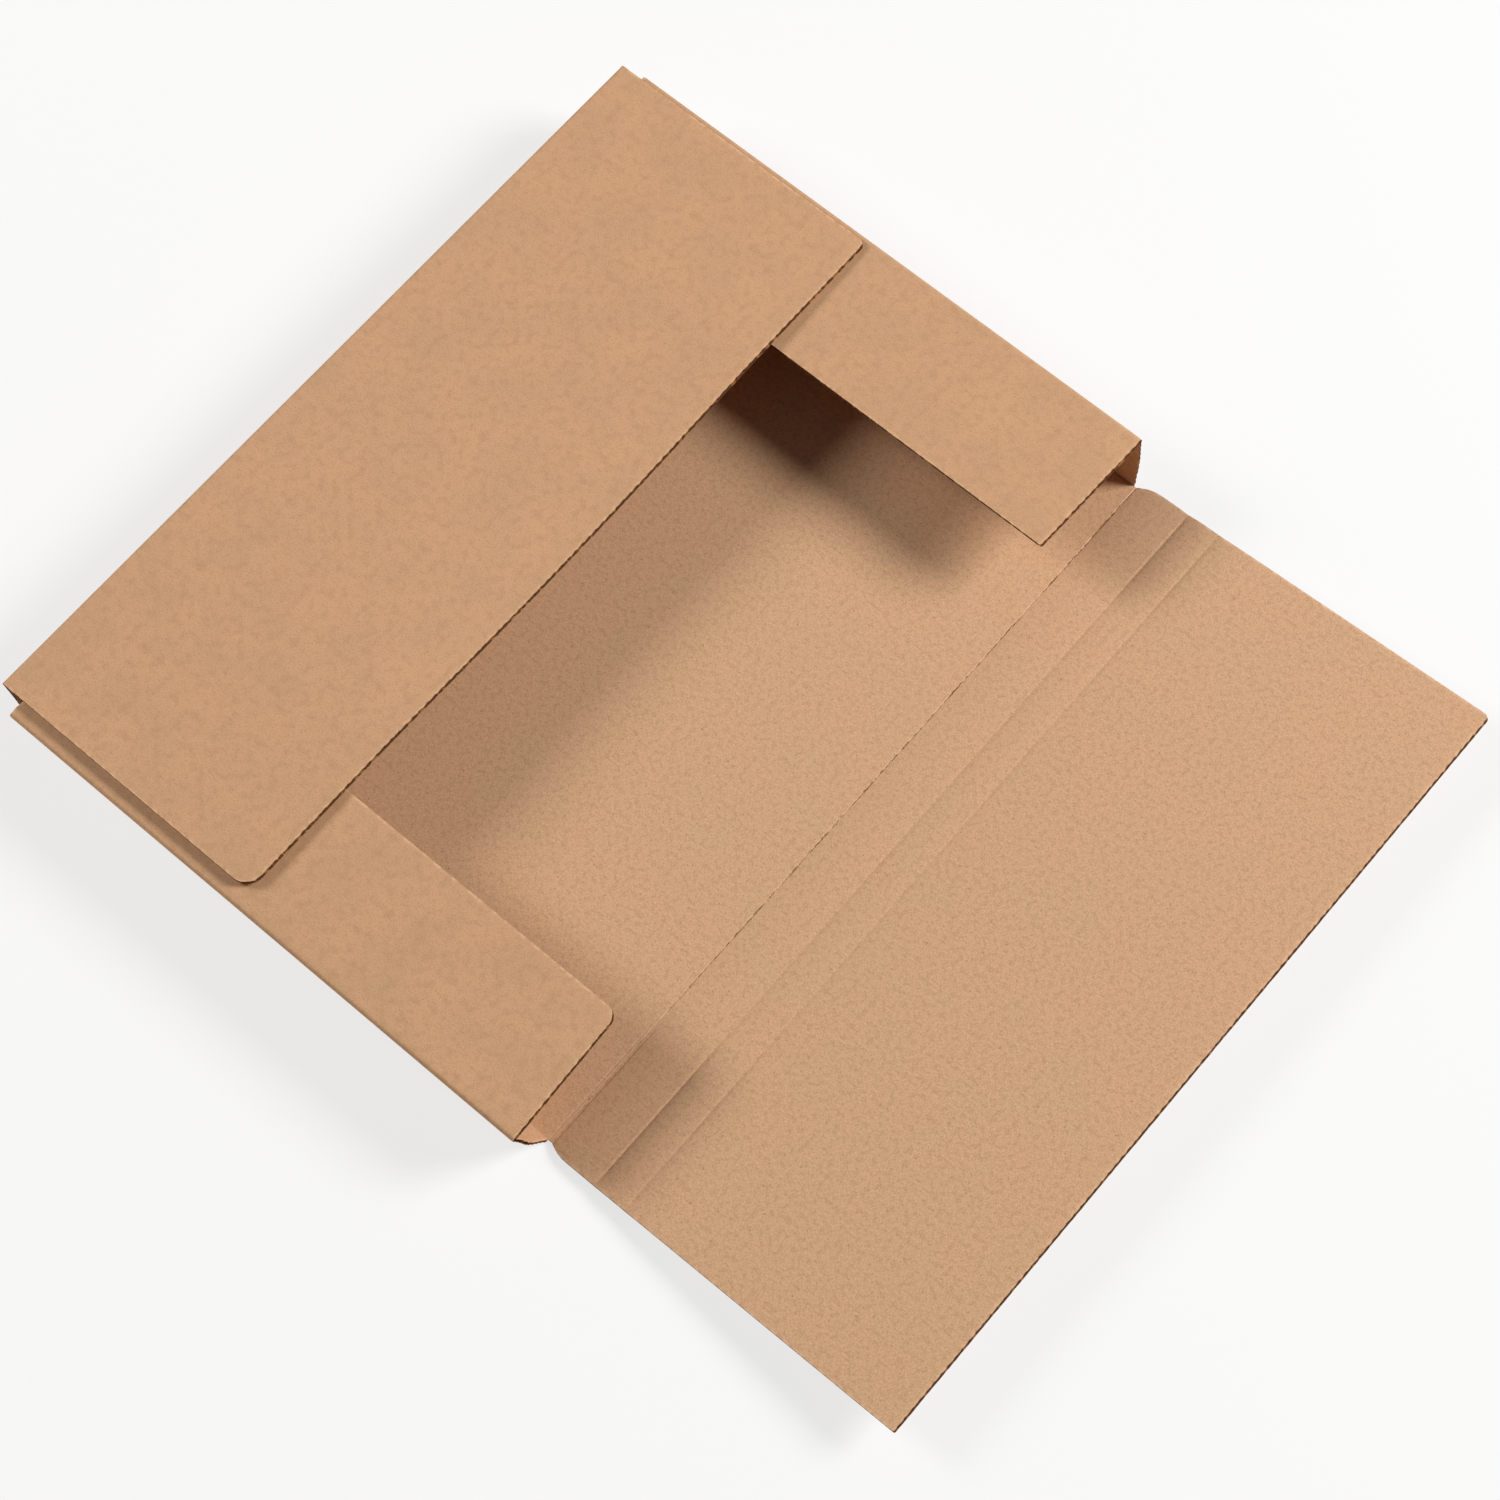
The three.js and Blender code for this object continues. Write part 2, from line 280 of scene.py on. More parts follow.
def stations(marks, spacing):
    """Values from the first mark to the last, through every mark, at most a spacing apart."""
    out = [marks[0]]
    for a, b in zip(marks, marks[1:]):
        steps = max(1, math.ceil((b - a) / spacing - 1e-6))
        out += [a + (b - a) * k / steps for k in range(1, steps + 1)]
    return out


def pressed(distance, width, depth):
    """Depth of a score at a distance from its middle: a steep near side and a long far side."""
    reach = width * (SCORE_STEEP if distance < 0 else SCORE_LONG)
    share = min(1.0, abs(distance) / reach)
    return depth * (1 - share) ** SCORE_CURVE


def uneven(along, seed):
    """A score is pressed deeper in some places than in others."""
    return 0.8 + 0.5 * noise.noise(Vector((along / SCORE_STEP, seed, 0)))


def ridge(distance, form):
    """Height of a smooth ridge: its form is its height, its place and its half width."""
    height, place, wide = form
    return height * math.exp(-((distance - place) / wide) ** 2)


def fray(t, seed, size):
    """How far a cut edge is drawn in at a place along it."""
    return size * (0.5 + 0.5 * noise.noise(Vector((t / FRAY_STEP, seed, 0.5))))


def new_mesh():
    """An empty mesh whose points know their place on the flat sheet, their tear, which carries painted shade
    and highlight, and their cut.
    """
    bm = bmesh.new()
    bm.verts.layers.float_vector.new("flat")
    bm.verts.layers.float.new("crack_and_shade")
    bm.verts.layers.float.new("rim")
    return bm


def lay_sheet(bm, columns, rows, place, thickness, near, far):
    """One sheet of paper: a grid whose points go where place says, given its thickness.
    Its near face looks to the inside of the mailer. Its cut sides take the medium's dark paper as painted
    shade."""
    made = bmesh.ops.create_grid(
        bm, x_segments=len(columns) - 1, y_segments=len(rows) - 1, size=0.5)
    flat = bm.verts.layers.float_vector["flat"]
    crack_and_shade, rim = bm.verts.layers.float["crack_and_shade"], bm.verts.layers.float["rim"]
    for k, v in enumerate(made["verts"]):
        where, on_sheet, torn, cut = place(columns[k % len(columns)], rows[k // len(columns)])
        v.co = where
        v[flat] = on_sheet
        v[crack_and_shade] = torn
        v[rim] = cut
    faces = list({f for v in made["verts"] for f in v.link_faces})
    for f in faces:
        f.smooth = True
        f.normal_update()
    for v in made["verts"]:
        v.normal_update()
    grown = bmesh.ops.solidify(bm, geom=faces, thickness=thickness)["geom"]
    # The cut sides take the medium's dark paper: painted shade of the crevice at a cut.
    for f in {f for v in made["verts"] for f in v.link_faces}:
        f.material_index = MEDIUM_AND_SHADE
    for f in faces:
        f.material_index = near
    for f in grown:
        if isinstance(f, bmesh.types.BMFace):
            f.material_index = far


class Panel:
    """What one panel of board is: its walk, its ends, its scores and its cut edges. Across is
    its range of x, and top is the liner that lies uppermost. Points between keep_x and keep_t
    stay where the grid has them, and the bands beyond reach out or draw in to the ends."""

    def __init__(self, walk, across, **how):
        self.walk = walk
        self.across = across
        self.ends_x = how.get("ends_x", lambda t: across)
        self.ends_t = how.get("ends_t", lambda x: (walk.first, walk.last))
        self.keep_x = how.get("keep_x", (across[0] + 0.25 * (across[1] - across[0]),
                                         across[1] - 0.25 * (across[1] - across[0])))
        self.keep_t = how.get("keep_t", (walk.first + 20 * MM, walk.last - 20 * MM))
        self.score = how.get("score", lambda x, t: 0.0)
        self.cut_x = how.get("cut_x", lambda t: (False, False))
        self.marks = how.get("marks", list(across))
        self.rounds = how.get("rounds", (0.0, 0.0))
        self.flat_x = how.get("flat_x", lambda x: x)
        self.bow = how.get("bow", lambda x, t: 0.0)
        self.seed = how.get("seed", 1.0)
        self.top = how.get("top", "outer")


def lay_board(bm, panel, b):
    """Both liners of a panel and the fluted medium between them."""
    walk, across = panel.walk, panel.across

    def paper(depth_of, inset, seed, short=0.0):
        def place(column, row):
            now_t = panel.ends_t(column)
            t = stretch(row, (walk.first, walk.last), now_t, panel.keep_t)
            t_lo, t_hi = now_t
            t = min(max(t, t_lo + inset), t_hi - inset)
            x0, x1 = panel.ends_x(t)
            cut0, cut1 = panel.cut_x(t)
            # The liner breaks a little further back between the flutes than on them
            back = inset + short * (1 + SCALLOP * math.cos(2 * math.pi * t / b.pitch))
            x0 += (back + fray(t, seed, b.edge_fray)) if cut0 else 0.0
            x1 -= (back + fray(t, seed + 7, b.edge_fray)) if cut1 else 0.0
            x = stretch(column, across, (x0, x1), panel.keep_x)
            gap = min(t - t_lo, t_hi - t, x - x0 if cut0 else 1.0, x1 - x if cut1 else 1.0)
            near_cut = math.exp(-(gap / CUT_REACH) ** 2)
            depth = depth_of(x, t, b.edge_crush * near_cut) + panel.bow(x, t)
            y, z = walk.point(t, depth)
            return Vector((x, y, z)), (panel.flat_x(x), t, 0.0), 0.0, near_cut
        return place

    def inner(x, t, crush):
        return panel.score(x, t) + crush

    def outer(x, t, crush):
        return b.board - b.liner - crush

    def fluted(x, t, crush):
        top = inner(x, t, crush) + b.liner
        low = outer(x, t, crush) - b.medium
        wave = 0.5 - 0.5 * math.cos(2 * math.pi * t / b.pitch)
        return top + max(low - top, LEAST_WAVE) * wave

    first, last = across[0] + FINE_COLUMNS[-1], across[1] - FINE_COLUMNS[-1]
    marks = sorted({across[0] + e for e in FINE_COLUMNS} | {across[1] - e for e in FINE_COLUMNS}
                   | {m for m in panel.marks if first < m < last})
    columns = stations(marks, LINER_COLUMN)
    rows = walk.rows(b.pitch / LINER_STEPS, *panel.rounds)
    short = {panel.top: b.top_back}
    # Each liner's glued face takes the medium's dark paper: painted shade inside the board.
    lay_sheet(bm, columns, rows, paper(inner, 0.0, panel.seed, short.get("inner", 0.0)),
              b.liner, INNER, MEDIUM_AND_SHADE)
    lay_sheet(bm, columns, rows, paper(outer, 0.0, panel.seed + 3, short.get("outer", 0.0)),
              b.liner, MEDIUM_AND_SHADE, OUTER)
    lay_sheet(bm, stations(marks, MEDIUM_COLUMN), walk.rows(b.pitch / WAVE_STEPS, *panel.rounds),
              paper(fluted, b.medium_back, panel.seed + 11), b.medium, MEDIUM_AND_SHADE, MEDIUM_AND_SHADE)


def finish_piece(bm, name, materials, place=None):
    """Moves a mesh to its place, turns it outward if it was mirrored, and makes its object."""
    if place is not None:
        bmesh.ops.transform(bm, matrix=place, verts=bm.verts[:])
        if place.determinant() < 0:
            bmesh.ops.reverse_faces(bm, faces=bm.faces[:])
    for e in bm.edges:
        e.smooth = len(e.link_faces) == 2 and e.calc_face_angle(0) < math.radians(50)
    mesh = bpy.data.meshes.new(name)
    bm.to_mesh(mesh)
    bm.free()
    for m in materials:
        mesh.materials.append(m)
    piece = bpy.data.objects.new(name, mesh)
    bpy.context.scene.collection.objects.link(piece)
    return piece


def board_piece(name, panel, place=None):
    """Both liners and the medium of one panel as a finished piece."""
    bm = new_mesh()
    lay_board(bm, panel, bpy.context.scene.mailer_board)
    return finish_piece(bm, name, papers(), place)


# ---------------------------------------------------------------- papers

PALE_LIP = (1.25, 1.3, 1.38)    # loose fibres against their liner
LIP_SCALE = 420.0               # waves per metre: breaks in the lip of about 2.4 mm


def add(tree, kind, sockets=None, **traits):
    """Adds a node with its traits, and sets or links its sockets."""
    node = tree.nodes.new(kind)
    for key, value in traits.items():
        setattr(node, key, value)
    for key, value in (sockets or {}).items():
        socket = node.inputs[key]
        if isinstance(value, bpy.types.NodeSocket):
            tree.links.new(value, socket)
        else:
            socket.default_value = value
    return node


def paper_tree(name):
    """A material and its empty node tree."""
    material = bpy.data.materials.get(name) or bpy.data.materials.new(name)
    material.use_nodes = True
    material.node_tree.nodes.clear()
    return material, material.node_tree


def scaled(rgb, factor):
    """A colour times three factors, no brighter than white, with its alpha."""
    return tuple(min(1.0, c * f) for c, f in zip(rgb, factor)) + (1.0,)


def lay_tones(tree, tone, *layers):
    """Lays colours over a tone. A layer is (pattern, low, high, most, colour): it covers none of
    what is under it where the pattern is low, and most where the pattern is high."""
    for pattern, low, high, most, over in layers:
        share = add(tree, "ShaderNodeMapRange", {
            "Value": pattern, "From Min": low, "From Max": high, "To Max": most,
        }).outputs["Result"]
        tone = add(tree, "ShaderNodeMix", {"Factor": share, "A": tone, "B": over},
                   data_type="RGBA").outputs["Result"]
    return tone


def finish_paper(tree, tone, pattern, roughness, height, distance):
    """A paper's shader, rougher where its pattern is high, with bumps of a size in metres."""
    dull = add(tree, "ShaderNodeMapRange", {
        "Value": pattern, "From Min": 0.3, "From Max": 0.7,
        "To Min": roughness[0], "To Max": roughness[1]}).outputs["Result"]
    bump = add(tree, "ShaderNodeBump", {"Height": height, "Strength": 1.0, "Distance": distance})
    shader = add(tree, "ShaderNodeBsdfPrincipled", {
        "Base Color": tone, "Roughness": dull, "IOR": 1.47,
        "Specular IOR Level": 0.25, "Normal": bump.outputs["Normal"],
    })
    add(tree, "ShaderNodeOutputMaterial", {"Surface": shader.outputs["BSDF"]})


def cut_lip(tree, flat, tone, lip, low=0.42, high=0.62):
    """Where the die cut the paper, loose fibres stand up in a pale, broken lip."""
    rim = add(tree, "ShaderNodeAttribute", attribute_name="rim").outputs["Fac"]
    broken = add(tree, "ShaderNodeTexNoise", {
        "Vector": flat, "Scale": LIP_SCALE, "Detail": 3.0}, noise_dimensions="2D").outputs["Fac"]
    most = add(tree, "ShaderNodeMapRange", {
        "Value": broken, "From Min": low, "From Max": high, "To Max": 0.9}).outputs["Result"]
    share = add(tree, "ShaderNodeMath", {0: rim, 1: most}, operation="MULTIPLY").outputs[0]
    return add(tree, "ShaderNodeMix", {"Factor": share, "A": tone, "B": lip},
               data_type="RGBA").outputs["Result"]


def inner_liner():
    """Unbleached kraft linerboard, rough side: short fibres give a fine speckle with a few
    darker flecks, over faint pinkish and yellowish clouds. It hardly shines."""
    material, tree = paper_tree("kraft_liner_inside")
    base = tuple(bpy.context.scene.mailer_finish.inner)
    crack_and_shade = tuple(bpy.context.scene.mailer_finish.crack_and_shade) + (1.0,)
    flat = add(tree, "ShaderNodeAttribute", attribute_name="flat").outputs["Vector"]
    # Fibres about 0.4 mm across, drawn out along the paper machine's direction
    fibre_place = add(tree, "ShaderNodeMapping", {"Vector": flat, "Scale": (2400, 1300, 1)})
    fibres = add(tree, "ShaderNodeTexNoise", {
        "Vector": fibre_place.outputs["Vector"], "Scale": 1.0, "Detail": 3.0, "Roughness": 0.6,
    }, noise_dimensions="2D").outputs["Fac"]
    # Clumps of about 2 mm
    clumps = add(tree, "ShaderNodeTexNoise", {
        "Vector": flat, "Scale": 480.0, "Detail": 2.0}, noise_dimensions="2D").outputs["Fac"]
    # Clouds of about 25 mm
    clouds = add(tree, "ShaderNodeTexNoise", {
        "Vector": flat, "Scale": 38.0, "Detail": 2.0}, noise_dimensions="2D").outputs["Fac"]
    # Flecks of about 1 mm
    flecks = add(tree, "ShaderNodeTexNoise", {
        "Vector": flat, "Scale": 900.0, "Detail": 1.0}, noise_dimensions="2D").outputs["Fac"]
    # The first score has torn a little: a broken dark line of torn paper and painted shade in the split,
    # wider and darker in places
    torn = add(tree, "ShaderNodeAttribute", attribute_name="crack_and_shade").outputs["Fac"]
    tears = add(tree, "ShaderNodeTexNoise", {
        "Vector": flat, "Scale": 520.0, "Detail": 4.0, "Roughness": 0.7},
        noise_dimensions="2D").outputs["Fac"]
    patches = add(tree, "ShaderNodeTexNoise", {
        "Vector": flat, "Scale": 70.0, "Detail": 1.0}, noise_dimensions="2D").outputs["Fac"]
    # The painted shade of the split follows the tear, broken up by noise
    edge = torn
    for pattern, low, high, least, most in ((tears, 0.3, 0.7, -0.4, 0.3),
                                            (patches, 0.4, 0.6, -0.1, 0.14)):
        shift = add(tree, "ShaderNodeMapRange", {
            "Value": pattern, "From Min": low, "From Max": high, "To Min": least,
            "To Max": most}).outputs["Result"]
        edge = add(tree, "ShaderNodeMath", {0: edge, 1: shift}, operation="ADD").outputs[0]
    tone = lay_tones(
        tree, scaled(base, (1.012, 0.992, 0.97)),
        (clouds, 0.35, 0.65, 1.0, scaled(base, (0.99, 1.0, 0.985))),
        (clumps, 0.45, 0.72, 1.0, scaled(base, (0.88, 0.86, 0.84))),
        (fibres, 0.5, 0.95, 1.0, scaled(base, (0.6, 0.56, 0.52))),
        (fibres, 0.48, 0.05, 1.0, scaled(base, (1.3, 1.33, 1.38))),
        (flecks, 0.74, 0.8, 0.6, scaled(base, (0.5, 0.44, 0.4))),
        # A pale band of painted highlight on the lips of the score, partly paler torn fibres
        (torn, 0.3, 0.7, 0.55, scaled(base, (1.3, 1.35, 1.42))),
        # The dark line: torn paper and painted shade in the split
        (edge, 0.7, 0.95, 0.8, crack_and_shade),
    )
    tone = cut_lip(tree, flat, tone, scaled(base, PALE_LIP))
    height = add(tree, "ShaderNodeMath", {0: fibres, 1: clumps}, operation="ADD").outputs[0]
    finish_paper(tree, tone, fibres, (0.82, 0.95), height, 0.05 * MM)
    return material


def outer_liner():
    """Unbleached kraft linerboard, smooth side: pressed flat by the machine, so it is even,
    with soft clouds and hardly any grain."""
    material, tree = paper_tree("kraft_liner_outside")
    base = tuple(bpy.context.scene.mailer_finish.outer)
    flat = add(tree, "ShaderNodeAttribute", attribute_name="flat").outputs["Vector"]
    # Grain of about 0.4 mm, clouds of about 18 mm and small clouds of about 3 mm
    grain_place = add(tree, "ShaderNodeMapping", {"Vector": flat, "Scale": (2600, 1500, 1)})
    grain = add(tree, "ShaderNodeTexNoise", {
        "Vector": grain_place.outputs["Vector"], "Scale": 1.0, "Detail": 2.0,
    }, noise_dimensions="2D").outputs["Fac"]
    clouds = add(tree, "ShaderNodeTexNoise", {
        "Vector": flat, "Scale": 55.0, "Detail": 3.0}, noise_dimensions="2D").outputs["Fac"]
    small = add(tree, "ShaderNodeTexNoise", {
        "Vector": flat, "Scale": 300.0, "Detail": 2.0}, noise_dimensions="2D").outputs["Fac"]
    tone = lay_tones(
        tree, scaled(base, (1.03, 1.015, 0.99)),
        (clouds, 0.32, 0.68, 1.0, scaled(base, (0.955, 0.96, 0.955))),
        (small, 0.45, 0.85, 1.0, scaled(base, (0.86, 0.84, 0.82))),
        (grain, 0.5, 0.95, 1.0, scaled(base, (0.62, 0.58, 0.54))),
    )
    tone = cut_lip(tree, flat, tone, scaled(base, PALE_LIP))
    finish_paper(tree, tone, grain, (0.72, 0.85), grain, 0.02 * MM)
    return material


def fluting_and_shade():
    """Recycled fluting paper, pressed into waves by hot rolls: dull and fibrous, and darker, partly with
    painted shade of the hollow between the liners.
    """
    material, tree = paper_tree("fluting_paper_and_shade")
    base = tuple(bpy.context.scene.mailer_finish.medium)
    flat = add(tree, "ShaderNodeAttribute", attribute_name="flat").outputs["Vector"]
    # Fibres of about 0.7 mm
    fibres = add(tree, "ShaderNodeTexNoise", {
        "Vector": flat, "Scale": 1400.0, "Detail": 3.0}, noise_dimensions="2D").outputs["Fac"]
    tone = lay_tones(tree, scaled(base, (1.15, 1.15, 1.15)),
                     (fibres, 0.35, 0.65, 1.0, scaled(base, (0.75, 0.73, 0.7))))
    # The medium, darkened with painted shade, is far darker than its loose fibres, and shows fewer of them
    # than a liner
    tone = cut_lip(tree, flat, tone, scaled(base, (3.6, 4.2, 5.2)), 0.54, 0.66)
    finish_paper(tree, tone, fibres, (0.88, 0.97), fibres, 0.04 * MM)
    return material


def papers():
    return [bpy.data.materials.get(name) or make() for name, make in (
        ("kraft_liner_inside", inner_liner),
        ("kraft_liner_outside", outer_liner),
        ("fluting_paper_and_shade", fluting_and_shade),
    )]


# ---------------------------------------------------------------- pieces

def settings():
    """What the board is and where it is folded."""
    scene = bpy.context.scene
    return scene.mailer_board, scene.mailer_folds


def corner_end(reach, gap, r):
    """Where a straight edge ends at a distance from the side, round a corner of radius r."""
    if gap >= r or r == 0:
        return reach
    inside = max(0.0, r * r - (r - gap) ** 2)
    return reach - r + math.sqrt(inside)


def shoulder_reach(u, half, over, f):
    """Half width of a long flap at a distance from its base crease."""
    if u >= f.shoulder:
        return half + over
    middle = f.shoulder / 2
    if u <= middle:
        return half + over * SHOULDER_BULGE * u / middle
    return half + over * (SHOULDER_BULGE + (1 - SHOULDER_BULGE) * (u - middle) / middle)


def swing(x, z, turn, mirrored):
    """Places a flat panel: turned up about its crease, then moved to it."""
    return (Matrix.Translation((x, 0, z))
            @ Matrix.Rotation(turn if mirrored else -turn, 4, "Y")
            @ Matrix.Diagonal((-1 if mirrored else 1, 1, 1, 1)))


def score_fade(t, first, last, margin):
    """Scores die out near a flap's side edges."""
    gap = min(t - first, last - t)
    return min(1.0, max(0.0, (gap - margin) / FADE))


def swell(x, f):
    """The board swells up a little between two scores of a long flap."""
    strips = (0.0, f.first_score, f.second_score)
    low, high = strips[:2] if x < f.first_score else strips[1:]
    share = (x - low) / (high - low)
    return -4 * f.strip_swell * share * (1 - share) * (high - low) / f.first_score


def rise(x, f):
    """The open cover bends up just beyond its score and runs out level."""
    bend = RISE_SHARE * f.strip_swell * (1 - math.exp(-x / RISE_REACH))
    return -bend * (1 - x / f.right_cover)


def wall_panel(near, far, side, b, f):
    """A long flap's wall strip, from its base crease to its deeper score. Near and far are how
    much wider than the base it is, side is -1 on the left and 1 on the right."""
    half = f.base_y / 2
    walk = Walk((-half - near, 0), [(0.0, f.base_y + near + far)], b.board / 2, half + near)
    across = (b.crease_half, f.second_score - b.crease_half)

    def score(x, t):
        fade = score_fade(t, walk.first, walk.last, b.score_margin) * uneven(t, 8.2)
        return pressed(x - f.first_score, b.score_width, SCORE_LEFT * b.score_depth) * fade

    # The first columns follow the pressed line, the others the swell on either side of it
    line = [f.first_score + k * b.score_width for k in SCORE_COLUMNS]
    line += stations([4 * MM, f.first_score - 2 * MM], 3 * MM)
    line += stations([f.first_score + 2.5 * MM, f.second_score - 4 * MM], 2 * MM)
    return Panel(
        walk, across, bow=lambda x, t: swell(x, f),
        ends_t=lambda x: (-shoulder_reach(x, half, near, f), shoulder_reach(x, half, far, f)),
        score=score, marks=line, seed=2.0 + side,
        flat_x=lambda x: side * (f.base_x / 2 + x),
    )


def cover_panel(reach, near, far, r_near, r_far, side, b, f, sag=0.0):
    """A long flap's cover, from its fold to its free edge, with its two free corners."""
    half = f.base_y / 2
    walk = Walk((-half - near, 0), [(0.0, f.base_y + near + far)], b.board / 2, half + near)
    across = (b.crease_half, reach)

    def ends(t):
        end = corner_end(reach, t - walk.first, r_near)
        return across[0], min(end, corner_end(reach, walk.last - t, r_far))

    def hang(x, t):
        if not sag:
            return rise(x, f)
        along = max(0.0, 1 - (t / SAG_HALF) ** 2) ** SAG_ALONG
        return -sag * along * (x / reach) ** SAG_ACROSS

    return Panel(
        walk, across, ends_x=ends, cut_x=lambda t: (False, True), seed=5.0 + side,
        top="outer" if side < 0 else "inner",
        rounds=(r_near, r_far), keep_x=(20 * MM, reach - 12 * MM),
        marks=stations([across[0] + 3 * MM, reach - 3 * MM], 5 * MM),
        flat_x=lambda x: side * (f.base_x / 2 + f.second_score + x),
        bow=hang,
    )


def side_walk(b, f):
    """The strip of near flap, near wall, base, far wall and far flap, seen along X."""
    half, quarter = f.base_y / 2, math.pi / 2
    top = Vector((-half - f.wall_h * math.sin(f.near_lean),
                  b.board + f.wall_h * math.cos(f.near_lean)))
    inward = Vector((math.cos(f.near_droop), -math.sin(f.near_droop)))
    middle = b.board / 2
    legs = [
        (2 * quarter - f.near_droop, f.side_flap),
        (3 * quarter + f.near_lean, f.wall_h),
        (4 * quarter, f.base_y),
        (5 * quarter - f.far_lean, f.wall_h),
        (6 * quarter + f.far_droop, f.side_flap),
    ]
    to_base = f.side_flap + f.wall_h + (legs[2][0] - legs[0][0]) * middle
    return Walk(top + inward * f.side_flap, legs, middle, to_base + half)


class MAILER_OT_tray(bpy.types.Operator):
    """Base, side walls and side flaps, folded from one sheet of board"""
    bl_idname = "mailer.tray"
    bl_label = "Tray"

    def execute(self, context):
        b, f = settings()
        walk = side_walk(b, f)
        half = f.base_y / 2
        side_x = f.base_x / 2 - f.side_gap
        base_end = f.base_x / 2 - b.crease_half
        near_crease, far_crease = -half, half
        near_top = walk.first + f.side_flap
        far_top = walk.last - f.side_flap

        def ends(t):
            if near_crease <= t <= far_crease:
                return -base_end, base_end
            reach = side_x
            for gap, r in ((near_top - t, f.near_r), (t - far_top, f.far_r)):
                if gap > 0:
                    reach = side_x - f.side_taper * min(1.0, gap / (f.side_flap - r))
                    reach = corner_end(reach, f.side_flap - gap, r)
            return -reach, reach

        def score(x, t):
            out = 0.0
            for at in (near_crease - f.wall_score, far_crease + f.wall_score):
                out += pressed(t - at, b.score_width, b.score_depth)
            return out

        def bulge(x, t):
            for start, size in ((near_crease - f.wall_h, f.near_bow), (far_crease, f.far_bow)):
                share = (t - start) / f.wall_h
                if 0 < share < 1:
                    return size * math.sin(math.pi * share) ** 2
            return 0.0

        panel = Panel(
            walk, (-side_x, side_x), ends_x=ends, score=score, keep_x=(-80 * MM, 80 * MM),
            bow=bulge,
            cut_x=lambda t: (not near_crease <= t <= far_crease,) * 2,
            rounds=(f.near_r, f.far_r), seed=1.0,
        )
        piece = board_piece("tray_board", panel)
        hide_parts("tray")
        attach(piece, "tray")
        return {"FINISHED"}


class MAILER_OT_left_flap(bpy.types.Operator):
    """Left wall and cover, folded over the side flaps"""
    bl_idname = "mailer.left_flap"
    bl_label = "Left flap"

    def execute(self, context):
        b, f = settings()
        up = math.pi / 2 - f.left_lean
        wall = board_piece("left_wall_board", wall_panel(f.left_near, f.left_far, -1, b, f),
                           swing(-f.base_x / 2, b.board, up, True))
        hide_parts("left_wall")
        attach(wall, "left_wall")
        fold_x = -f.base_x / 2 - f.second_score * math.sin(f.left_lean)
        fold_z = b.board + f.second_score * math.cos(f.left_lean)
        panel = cover_panel(f.left_cover, f.left_near, f.left_far, f.left_near_r, f.left_far_r,
                            -1, b, f, f.cover_sag)
        cover = board_piece("left_cover_board", panel, swing(fold_x, fold_z, math.pi, True))
        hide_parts("left_cover")
        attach(cover, "left_cover")
        return {"FINISHED"}


class MAILER_OT_right_flap(bpy.types.Operator):
    """Right wall and cover, lying open"""
    bl_idname = "mailer.right_flap"
    bl_label = "Right flap"

    def execute(self, context):
        b, f = settings()
        wall = board_piece("right_wall_board", wall_panel(f.right_near, f.right_far, 1, b, f),
                           swing(f.base_x / 2, b.board, f.right_rise, False))
        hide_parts("right_wall")
        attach(wall, "right_wall")
        fold_x = f.base_x / 2 + f.second_score * math.cos(f.right_rise)
        fold_z = b.board + f.second_score * math.sin(f.right_rise)
        panel = cover_panel(f.right_cover, f.right_near, f.right_far, f.right_near_r,
                            f.right_far_r, 1, b, f)
        cover = board_piece("right_cover_board", panel,
                            swing(fold_x, fold_z, f.right_rise, False))
        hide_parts("right_cover")
        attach(cover, "right_cover")
        return {"FINISHED"}


def tear(y):
    """How far the first score has torn open: its near end is only creased."""
    return min(1.0, max(0.0, (y - TEAR_FROM) / TEAR_GROWS))


